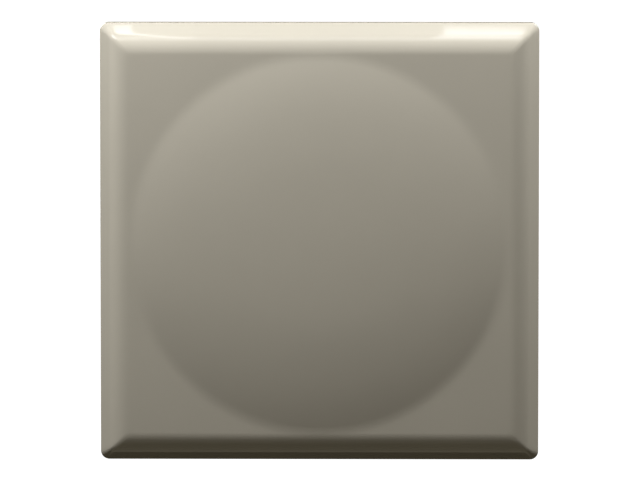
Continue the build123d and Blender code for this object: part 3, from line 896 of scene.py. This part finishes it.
def port_shape():
    """The jack's body: square flange, collar, thread relief, 24-per-inch thread, lip and bore."""
    seat = flange_base + flange_thickness
    thread_start = port_end - lip_length - thread_length
    flange = prism(rectangle(25.4, 25.4, corner=1.6), flange_base, seat, 0.35)
    spots = square_spots(port_screw_half_pitch, port_screw_half_pitch)
    flange = cut(flange, at_spots(peg(1.6, 0, 5, 40), spots))
    barrel = [
        (0, -plate_thickness),
        (5.8, -plate_thickness),
        (5.8, flange_base + 0.6),
        (port_radius, flange_base + 0.6),
        (port_radius, thread_start - 1.5),
        (relief_radius, thread_start - 1.5),
        (relief_radius, port_end),
        (0, port_end),
    ]
    thread = threaded_rod(
        port_radius, 25.4 / 24, 0.62, thread_start, port_end - lip_length, (True, True), 96
    )
    body = joined(joined(flange, lathe(rounded(barrel, 0.2, 3), 80)), thread)
    bore = [
        (0, port_end - bore_depth),
        (bore_radius, port_end - bore_depth),
        (bore_radius, port_end - 0.3),
        (bore_radius + 0.8, port_end + 0.5),
        (0, port_end + 0.5),
    ]
    passage = peg(dielectric_radius, -9, 12, port_segments)
    return cut(cut(body, lathe(bore, port_segments)), passage)


part_piece("jack_body", facing(moved(port_shape(), 0, -port_drop), REAR), "port_body", 30)

port_screw = pan_screw(radius=1.5, length=6.5, head_radius=2.7, head_height=1.9, pitch=0.5)
port_screw_spots = square_spots(port_screw_half_pitch, port_screw_half_pitch, (0, -port_drop))
part_piece(
    "jack_screws",
    facing(at_spots(port_screw, port_screw_spots, flange_base + flange_thickness), REAR),
    "port_screws",
)

# ---- Vent plug --------------------------------------------------------------------------------

vent_seal_top = high("vent_seal", 1)
vent_top = high("vent_plug", 1)


def vent_shape():
    """A breather plug: fluted cap with a dished top, side slots, bored stem and snap barb."""
    cap = [
        (0, vent_top - 0.5),
        (4.6, vent_top - 0.5),
        (5.0, vent_top),
        (6.3, vent_top),
        (6.5, vent_seal_top),
        (0, vent_seal_top),
    ]
    fluted_cap = lathe(rounded(cap, 0.5, 4), 120, waves=20, wave_depth=0.25)
    barb = -plate_thickness
    stem = [
        (0, vent_seal_top + 0.5),
        (3.0, vent_seal_top + 0.5),
        (3.0, barb),
        (3.5, barb - 0.05),
        (2.9, barb - 1.6),
        (0, barb - 1.6),
    ]
    body = cut(joined(fluted_cap, lathe(stem, 48)), peg(1.6, -9, vent_top - 1.2, 40))
    slots = [
        prism(rectangle(16, 0.9), vent_seal_top + 1.2, vent_seal_top + 2.0),
        prism(rectangle(0.9, 16), vent_seal_top + 1.25, vent_seal_top + 1.95),
    ]
    for slot_tool in slots:
        body = cut(body, slot_tool)
    return body


part_piece("breather_plug", facing(moved(vent_shape(), -vent_side, -vent_drop), REAR), "vent_plug")

# ---- Inside: spacers, probes, screws and the load ---------------------------------------------

board_front = -low("feed_board", 1)
tracks_front = -low("feed_tracks", 1)
patch_back = -high("driven_patch", 1)
patch_front = -low("driven_patch", 1)
director_back = -high("director_disc", 1)
director_front = -low("director_disc", 1)
spacer_spots = square_spots(spacer_half_pitch, spacer_half_pitch)
probe_spots = [(-probe_reach, -probe_reach), (probe_reach, -probe_reach)]

board_spots = [(x, z) for x in (-board_screw_side, board_screw_side) for z in board_screw_rows]
board_screw = pan_screw(radius=1.25, length=3.5, head_radius=2.4, head_height=1.8, pitch=0.45)
part_piece(
    "board_pan_screws",
    facing(at_spots(board_screw, board_spots, board_front), FRONT),
    "board_screws",
)
post_screw = pan_screw(radius=1.5, length=6.0, head_radius=2.8, head_height=2.0, pitch=0.5)
part_piece("post_pan_screw", facing(moved(post_screw, z=patch_front), FRONT), "post_screw")
nylon_screw = pan_screw(radius=1.5, length=4.8, head_radius=2.8, head_height=1.8, pitch=0.5)
part_piece(
    "nylon_pan_screws",
    facing(at_spots(nylon_screw, spacer_spots, director_front), FRONT),
    "director_screws",
)
part_piece(
    "lower_spacers",
    facing(at_spots(ring_shape(4.0, 1.5, plate_thickness, patch_back, 0.25), spacer_spots), FRONT),
    "patch_spacers",
)

upper_profile = rounded(
    [(1.5, director_back), (4.0, director_back), (4.0, patch_front), (1.5, patch_front)], 0.25, 3
)
upper_profile += [(1.5, patch_back - 3.3), (1.3, patch_back - 3.5), (0, patch_back - 3.5)]
upper_body = lathe([(0, director_back)] + upper_profile, 48)
upper_hole = peg(1.5, director_back - 4.5, director_back + 1)
part_piece(
    "upper_spacers",
    facing(at_spots(cut(upper_body, upper_hole), spacer_spots), FRONT),
    "director_spacers",
)

post_body = cut(prism(hexagon(8.0), plate_thickness, patch_back, 0.3), peg(1.5, 0, 30))
part_piece("hex_centre_post", facing(post_body, FRONT), "centre_post")

nut = cut(prism(hexagon(5.0), patch_front, patch_front + 2.0, 0.25), peg(1.27, 0, 40))
part_piece("hex_probe_nuts", facing(at_spots(nut, probe_spots), FRONT), "probe_nuts")

probe_profile = rounded(
    [
        (0, tracks_front),
        (3.0, tracks_front),
        (3.0, tracks_front + 0.6),
        (2.0, tracks_front + 0.6),
        (2.0, patch_back),
        (1.25, patch_back),
        (1.25, patch_front + 2.6),
        (0, patch_front + 2.6),
    ],
    0.15,
    3,
)
part_piece(
    "turned_probes",
    facing(at_spots(lathe(probe_profile, 40), probe_spots), FRONT),
    "feed_probes",
)


def solder_collar(inner, outer, height):
    """A concave solder fillet round a pin."""
    tip, steps = 0.15, 8
    profile = [(inner, 0), (outer, 0)]
    for step in range(1, steps + 1):
        t = step / steps
        profile.append((inner + tip + (outer - inner - tip) * (1 - t) ** 2.2, height * t))
    profile.append((inner, height))
    return lathe(profile, 40, closed=True)


pin_collar = moved(solder_collar(0.65, 2.0, 0.8), 0, -port_drop, tracks_front)
probe_collars = at_spots(solder_collar(3.0, 3.9, 0.6), probe_spots, tracks_front)
part_piece("solder_fillets", facing(merged([pin_collar, probe_collars]), FRONT), "solder_joints")

chip_outline = rectangle(3.2, 6.4, (load_side, -load_drop), 0.15, 2)
chip = prism(chip_outline, tracks_front, tracks_front + 0.6, 0.08)
part_piece("chip_load", facing(chip, FRONT), "load_resistor")

# ---- Stage: floor, light and camera -----------------------------------------------------------

camera_distance = 4.3
camera_azimuth = radians(0.8)
camera_elevation = radians(5.4)
view_width = 0.3773
floor_drop = 0.6
floor_radius = 14.0
panel_centre = (0, 0, 0)
lamp_colour = (0.982, 1.0, 1.035)
backdrop_tint = (1.0, 0.92, 0.72)

aim = Vector((0.0004, low("radome", 1) * MM / 2, 0.0017))


def make_floor():
    """A pale round floor that fades into the backdrop and throws no light on the part."""
    rings = [(floor_radius * share, 0) for share in (0, 0.25, 0.5, 1)]
    floor = mesh_object("studio_floor", lathe(rings, 96))
    floor.location.z = -floor_drop
    s = Shader("floor_paper", (0.86, 0.86, 0.85), 0.8)
    s.color(s.mix(s.span(s.noise(2), 0.3, 0.7, 0, 1), (0.85, 0.85, 0.84), (0.87, 0.87, 0.86)))
    s.surface.inputs["Emission Color"].default_value = (1, 1, 1, 1)
    s.surface.inputs["Emission Strength"].default_value = 1.1
    floor.data.materials.append(s.material)
    floor.visible_diffuse = False
    floor.visible_glossy = False


def make_world():
    """A white backdrop for the camera, which lights the part from two soft bands.

    One band runs from straight below to 51 degrees under the horizon, and the other from 8 degrees
    under the horizon to 24 degrees above it.
    Each stop is (share of the way from straight below to straight above, brightness).
    """
    world = bpy.data.worlds.new("studio")
    bpy.context.scene.world = world
    world.use_nodes = True
    tree = world.node_tree
    tree.nodes.clear()
    place = tree.nodes.new("ShaderNodeTexCoord")
    split = tree.nodes.new("ShaderNodeSeparateXYZ")
    tree.links.new(place.outputs["Generated"], split.inputs[0])
    rise = tree.nodes.new("ShaderNodeMapRange")
    tree.links.new(split.outputs["Z"], rise.inputs["Value"])
    rise.inputs["From Min"].default_value = -1
    ramp = tree.nodes.new("ShaderNodeValToRGB")
    tree.links.new(rise.outputs["Result"], ramp.inputs["Fac"])
    stops = ((0.0, 0.2), (0.11, 0.2), (0.135, 0.0), (0.4, 0.0), (0.43, 0.2), (0.7, 0.2), (0.73, 0.0))
    elements = ramp.color_ramp.elements
    while len(elements) < len(stops):
        elements.new(0.5)
    for element, (place_on_ramp, level) in zip(elements, stops):
        element.position = place_on_ramp
        element.color = (*(level * tint for tint in backdrop_tint), 1)
    light = tree.nodes.new("ShaderNodeBackground")
    tree.links.new(ramp.outputs["Color"], light.inputs["Color"])
    light.inputs["Strength"].default_value = 1.0
    backdrop = tree.nodes.new("ShaderNodeBackground")
    backdrop.inputs["Color"].default_value = (1, 1, 1, 1)
    backdrop.inputs["Strength"].default_value = 1.0
    ray = tree.nodes.new("ShaderNodeLightPath")
    blend = tree.nodes.new("ShaderNodeMixShader")
    tree.links.new(ray.outputs["Is Camera Ray"], blend.inputs[0])
    tree.links.new(light.outputs[0], blend.inputs[1])
    tree.links.new(backdrop.outputs[0], blend.inputs[2])
    out = tree.nodes.new("ShaderNodeOutputWorld")
    tree.links.new(blend.outputs[0], out.inputs["Surface"])


def soft_light(name, place, target, width, height, power, mirrored=True):
    """A rectangular softbox at place that faces target. The glossy parts mirror it when mirrored is set."""
    data = bpy.data.lights.new(name, "AREA")
    data.shape = "RECTANGLE"
    data.size, data.size_y = width, height
    data.energy = power
    data.color = lamp_colour
    lamp = bpy.data.objects.new(name, data)
    lamp.location = place
    lamp.rotation_mode = "QUATERNION"
    lamp.rotation_quaternion = (Vector(target) - Vector(place)).to_track_quat("-Z", "Y")
    lamp.visible_camera = False
    lamp.visible_glossy = mirrored
    bpy.context.scene.collection.objects.link(lamp)
    return lamp


def make_camera():
    """A long lens a few degrees above the panel's axis."""
    data = bpy.data.cameras.new("camera")
    data.lens = data.sensor_width * camera_distance / view_width
    data.clip_end = 100
    camera = bpy.data.objects.new("camera", data)
    back = Vector(
        (
            sin(camera_azimuth) * cos(camera_elevation),
            -cos(camera_azimuth) * cos(camera_elevation),
            sin(camera_elevation),
        )
    )
    camera.location = aim + back * camera_distance
    camera.rotation_mode = "QUATERNION"
    camera.rotation_quaternion = (-back).to_track_quat("-Z", "Y")
    bpy.context.scene.collection.objects.link(camera)
    bpy.context.scene.camera = camera


make_floor()
make_world()
soft_light("key_left", (-0.45, -0.3, 0.55), panel_centre, 0.3, 0.22, 4.6, mirrored=False)
soft_light("key_right", (0.45, -0.1, 0.55), panel_centre, 0.3, 0.22, 2.6, mirrored=False)
soft_light("front_right", (0.45, -0.3, 0.55), panel_centre, 0.3, 0.22, 1.2, mirrored=False)
soft_light("high_left", (-0.7, -0.15, 1.1), panel_centre, 0.7, 0.4, 6.0)
soft_light("high_middle", (0.0, -0.12, 0.8), panel_centre, 0.5, 0.3, 0.7)
soft_light("window_right", (0.1, 0.075, 0.6), (0.095, -0.155, 0.2), 0.058, 0.386, 0.21)
soft_light("window_left", (-0.1162, 0.077, 0.599), (-0.0882, -0.153, 0.199), 0.015, 0.386, 0.06)
soft_light("rear_right", (0.9, 1.5, 1.0), panel_centre, 0.9, 0.9, 24)
soft_light("rear_left", (-0.8, 1.6, 0.7), panel_centre, 0.7, 0.7, 12)
make_camera()

scene = bpy.context.scene
scene.view_settings.view_transform = "Standard"
